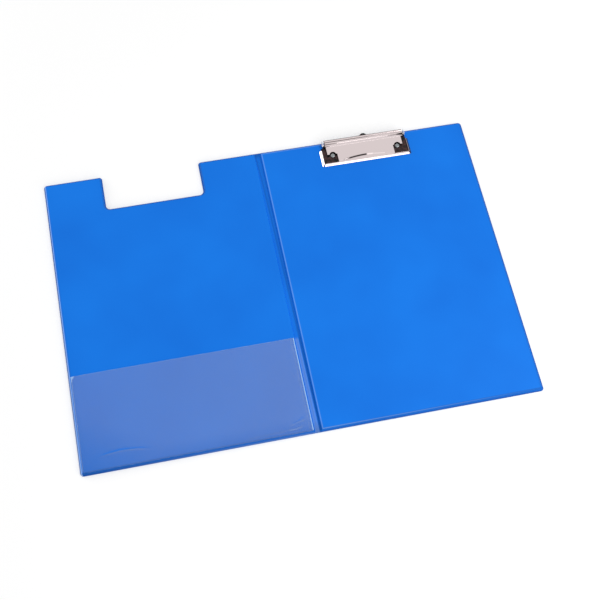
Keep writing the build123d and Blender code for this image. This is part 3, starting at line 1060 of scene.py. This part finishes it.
# Painted shading of the jaw at a point: painted shade and dark reflections along the strokes and the arch's
# crease, and painted highlights where a stroke's strength is below nought
def paintedShadingAt(x, y):
    most, least = 0.0, 0.0
    here = Vector((x, y))
    for x1, y1, x2, y2, wide1, wide2, strength in jaw["paintedShading"]:
        start, end = Vector((x1, y1)), Vector((x2, y2))
        along = end - start
        share = unit((here - start).dot(along) / along.length_squared)
        away = (here - start - along * share).length
        width = wide1 + (wide2 - wide1) * share
        value = strength * unit(jaw["paintedShadingEnd"] - away / width)
        most, least = max(most, value), min(least, value)
    left, right, width, strength, fade = jaw["archGrime"]
    if left < x < right:
        away = abs(y - archLine(x)[1] - jaw["archStep"] / 2)
        dark = strength * unit(jaw["archGrimeEnd"] - away / width)
        most = max(most, dark * min((x - left) / fade, 1))
    return most if most > 0 else least


def makeJaw(material):
    body = meshPiece("jawSheet", *jawSheet(), material)
    carve(body, [jawCut(side) for side in (-1, 1)], material)
    cut = body.data
    parts = [([tuple(v.co / mm) for v in cut.vertices], [tuple(p.vertices) for p in cut.polygons])]
    bpy.data.objects.remove(body)
    for side in (-1, 1):
        parts += [jawWall(side), jawTab(side)]
    piece = meshPiece("nickelPlatedJaw", *joined(parts), material)
    piece.data.set_sharp_from_angle(angle=radians(jaw["sharpFrom"]))
    # painted shade and painted highlights on the jaw
    paint(piece, "paintedShading", lambda x, y, z: paintedShadingAt(x - jaw["middle"], y))
    return piece


jawPlate = makeJaw(nickel)
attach(jawPlate, "clip_jaw")
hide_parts("jaw_plate")
print("jaw made")


# A node tree with one geometry going in and one coming out, and its other inputs by name and kind
def newTree(name, entry, exit, sockets):
    tree = bpy.data.node_groups.new(name, "GeometryNodeTree")
    for socket, kind in [(entry, "NodeSocketGeometry"), *sockets]:
        tree.interface.new_socket(socket, in_out="INPUT", socket_type=kind)
    tree.interface.new_socket(exit, in_out="OUTPUT", socket_type="NodeSocketGeometry")
    return tree, addNode(tree, "NodeGroupInput")


# Every tree ends by making its instances real and setting the material
def closeTree(tree, given, geometry, exit):
    solid = addNode(tree, "GeometryNodeRealizeInstances", links={"Geometry": geometry})
    done = addNode(tree, "GeometryNodeSetMaterial",
                   links={"Geometry": solid, "Material": given.outputs["Material"]})
    addNode(tree, "NodeGroupOutput", links={exit: done})
    return tree


# A wire drawn along a piece's own edges: Mesh to Curve, then Curve to Mesh with a round profile
def wireTree():
    tree, given = newTree("wireAlongPath", "Path", "Wire", [
        ("Wire Radius", "NodeSocketFloat"), ("Sides", "NodeSocketInt"), ("Material", "NodeSocketMaterial"),
    ])
    curve = addNode(tree, "GeometryNodeMeshToCurve", links={"Mesh": given.outputs["Path"]})
    ring = addNode(tree, "GeometryNodeCurvePrimitiveCircle",
                   links={"Resolution": given.outputs["Sides"], "Radius": given.outputs["Wire Radius"]})
    tube = addNode(tree, "GeometryNodeCurveToMesh", {"Fill Caps": True},
                   {"Curve": curve, "Profile Curve": ring})
    return closeTree(tree, given, tube, "Wire")


# A copy of one object at every point of a piece
def copiesTree():
    tree, given = newTree("copyAtEachPoint", "Places", "Copies", [
        ("Copied", "NodeSocketObject"), ("Material", "NodeSocketMaterial"),
    ])
    copied = addNode(tree, "GeometryNodeObjectInfo", links={"Object": given.outputs["Copied"]})
    many = addNode(tree, "GeometryNodeInstanceOnPoints",
                   links={"Points": given.outputs["Places"], "Instance": copied.outputs["Geometry"]})
    return closeTree(tree, given, many, "Copies")


# Runs a node tree on a piece with its inputs set by name, and leaves the plain mesh that comes out
def grow(piece, tree, values):
    modifier = piece.modifiers.new("grow", "NODES")
    modifier.node_group = tree
    for socket in tree.interface.items_tree:
        if socket.in_out == "INPUT" and socket.name in values:
            modifier[socket.identifier] = values[socket.name]
    convert(piece)
    finishMesh(piece.data)
    piece.data.set_sharp_from_angle(angle=radians(sharpFrom))


# Torsion springs round the pin: the lower leg over the base plate, the upper leg under the lever
spring = {
    "wire": 0.5,
    "mean": 3.3,
    "pitch": 1.3,
    "turns": 3 + 190 / 360,
    "places": {"left_spring": 90.0, "right_spring": 142.0},
    "upperLeg": 1.6,
    "lowerLeg": 2.1,
    "drop": 10.0,
    "stepsPerTurn": 48,
    "sides": 16,
}


def makeSpring(name, middle, tree, material):
    radius, turns = spring["mean"] / 2, spring["turns"]
    length = spring["pitch"] * turns
    count = round(turns * spring["stepsPerTurn"])
    first = radians(90 - spring["drop"])
    points = []
    for step in range(count + 1):
        angle = first - 2 * pi * turns * step / count
        x = middle - length / 2 + length * step / count
        points.append(Vector((x, jaw["pinY"] + radius * cos(angle), jaw["pinZ"] + radius * sin(angle))))
    points.insert(0, points[0] + (points[0] - points[1]).normalized() * spring["upperLeg"])
    points.append(points[-1] + (points[-1] - points[-2]).normalized() * spring["lowerLeg"])
    piece = barePiece(name, points, [(i, i + 1) for i in range(len(points) - 1)], [])
    half = spring["wire"] / 2 * mm
    grow(piece, tree, {"Wire Radius": half, "Sides": spring["sides"], "Material": material})
    return piece


# Rivets: a domed head on the base plate and a shank down through the boards
rivet = {
    "head": 2.6,
    "round": 1.2,
    "roundSteps": 14,
    "crown": 0.5,
    "base": 3.6,
    "height": 1.3,
    "shank": 1.5,
    "foot": 0.7,
    "sides": 48,
}


def makeRivets(tree, material):
    head, bend, base, sides = rivet["head"], rivet["round"], rivet["base"], rivet["sides"]
    top = base + rivet["height"]
    outline = [(rivet["shank"], rivet["foot"]), (rivet["shank"], base), (head, base)]
    outline += [(head - bend + x, top - bend + y) for x, y in arc(0, 0, bend, 0, 90, rivet["roundSteps"])]
    outline.append((rivet["crown"], top))
    turns = [2 * pi * i / sides for i in range(sides)]
    points = [(reach * cos(turn), reach * sin(turn), z) for reach, z in outline for turn in turns]
    faces = rowFaces(len(outline), sides)
    faces += [tuple(range(sides)), tuple(range(len(points) - sides, len(points)))]
    one = meshPiece("oneRivet", points, faces, material)
    piece = barePiece("domedRivets", [(x, rivetHoles["y"], 0) for x in rivetHoles["places"]], [], [])
    grow(piece, tree, {"Copied": one, "Material": material})
    bpy.data.objects.remove(one)
    return piece


wires = wireTree()
for node, middle in spring["places"].items():
    coil = makeSpring("nickelPlated" + node.split("_")[0].title() + "Spring", middle, wires, nickel)
    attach(coil, "rear_board")
    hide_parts(node)
domed = makeRivets(copiesTree(), shadeDarkenedRivetSteel)
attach(domed, "rear_board")
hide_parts("rivets")
print("springs and rivets made")

# The base plate and the hanger take the steel darkened as painted shade, the pin and the rivet backs bright
# nickel
for node in ("base_plate", "pivot_pin", "rivet_backs", "hanger"):
    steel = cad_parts[node]
    steel.data.materials.clear()
    steel.data.materials.append(shadePaintedSteel if node in ("base_plate", "hanger") else nickel)
print("clip finished")

# Floor and light
studio = {
    "floorColour": "#ffffff",
    "floorReach": 0.9,
    "fill": 0.72,
    "cardColour": "#0c0c0e",
    "cards": [
        # name, left end, right end, low, high: upright dark cards that only the metal mirrors
        ("rearCard", (-1.2, 1.25), (0.36, 1.25), -0.1, 0.34),
        ("frontCard", (0.82, -0.58), (0.38, -0.84), 0.32, 0.9),
    ],
    "lights": [
        # name, place, size, strength: a large soft box each, turned to the part
        ("overheadBox", (0.8, -0.15, 1.3), (0.7, 0.5), 5.6),
        ("sheenBox", (0.6, -0.38, 0.45), (0.3, 0.3), 0.65),
        ("leftBox", (-1.1, 0.75, 0.22), (1.0, 0.42), 5.0),
        ("frontBox", (0.4, -1.25, 0.42), (1.4, 0.5), 4.0),
    ],
}


# A flat upright or lying quad
def makePanel(name, corners, material):
    mesh = bpy.data.meshes.new(name)
    mesh.from_pydata(corners, [], [(0, 1, 2, 3)])
    mesh.materials.append(material)
    return addObject(name, mesh)


def makeMatt(name, colour):
    material, tree = newMaterial(name)
    return closeMaterial(material, addNode(tree, "ShaderNodeBsdfDiffuse", {"Color": colour}))


def makeStudio():
    reach = studio["floorReach"]
    corners = [(-reach, -reach, 0), (reach, -reach, 0), (reach, reach, 0), (-reach, reach, 0)]
    ground = makePanel("studioFloor", corners, makeMatt("paleFloor", studio["floorColour"]))

    world = bpy.data.worlds.new("softStudio")
    world.use_nodes = True
    tree = world.node_tree
    tree.nodes.clear()
    path = addNode(tree, "ShaderNodeLightPath")
    seen = path.outputs["Is Camera Ray"]
    for kind in ("Is Glossy Ray", "Is Transmission Ray"):
        seen = addNode(tree, "ShaderNodeMath", {"operation": "MAXIMUM"}, {0: seen, 1: path.outputs[kind]})
    strength = addNode(tree, "ShaderNodeMix", {2: studio["fill"], 3: 1.0}, {"Factor": seen})
    light = addNode(tree, "ShaderNodeBackground", {"Color": (1, 1, 1, 1)}, {"Strength": strength})
    addNode(tree, "ShaderNodeOutputWorld", links={"Surface": light})
    bpy.context.scene.world = world

    dark = makeMatt("darkCard", studio["cardColour"])
    for name, (leftX, leftY), (rightX, rightY), low, high in studio["cards"]:
        corners = [(leftX, leftY, low), (rightX, rightY, low), (rightX, rightY, high), (leftX, leftY, high)]
        card = makePanel(name, corners, dark)
        for ray in ("camera", "diffuse", "shadow", "transmission"):
            setattr(card, "visible_" + ray, False)

    for name, place, size, power in studio["lights"]:
        data = bpy.data.lights.new(name, "AREA")
        data.shape = "RECTANGLE"
        data.size, data.size_y = size
        data.energy = power
        lamp = addObject(name, data)
        lamp.location = place
        lamp.rotation_euler = (-Vector(place)).to_track_quat("-Z", "Y").to_euler()


makeStudio()
print("studio lit")
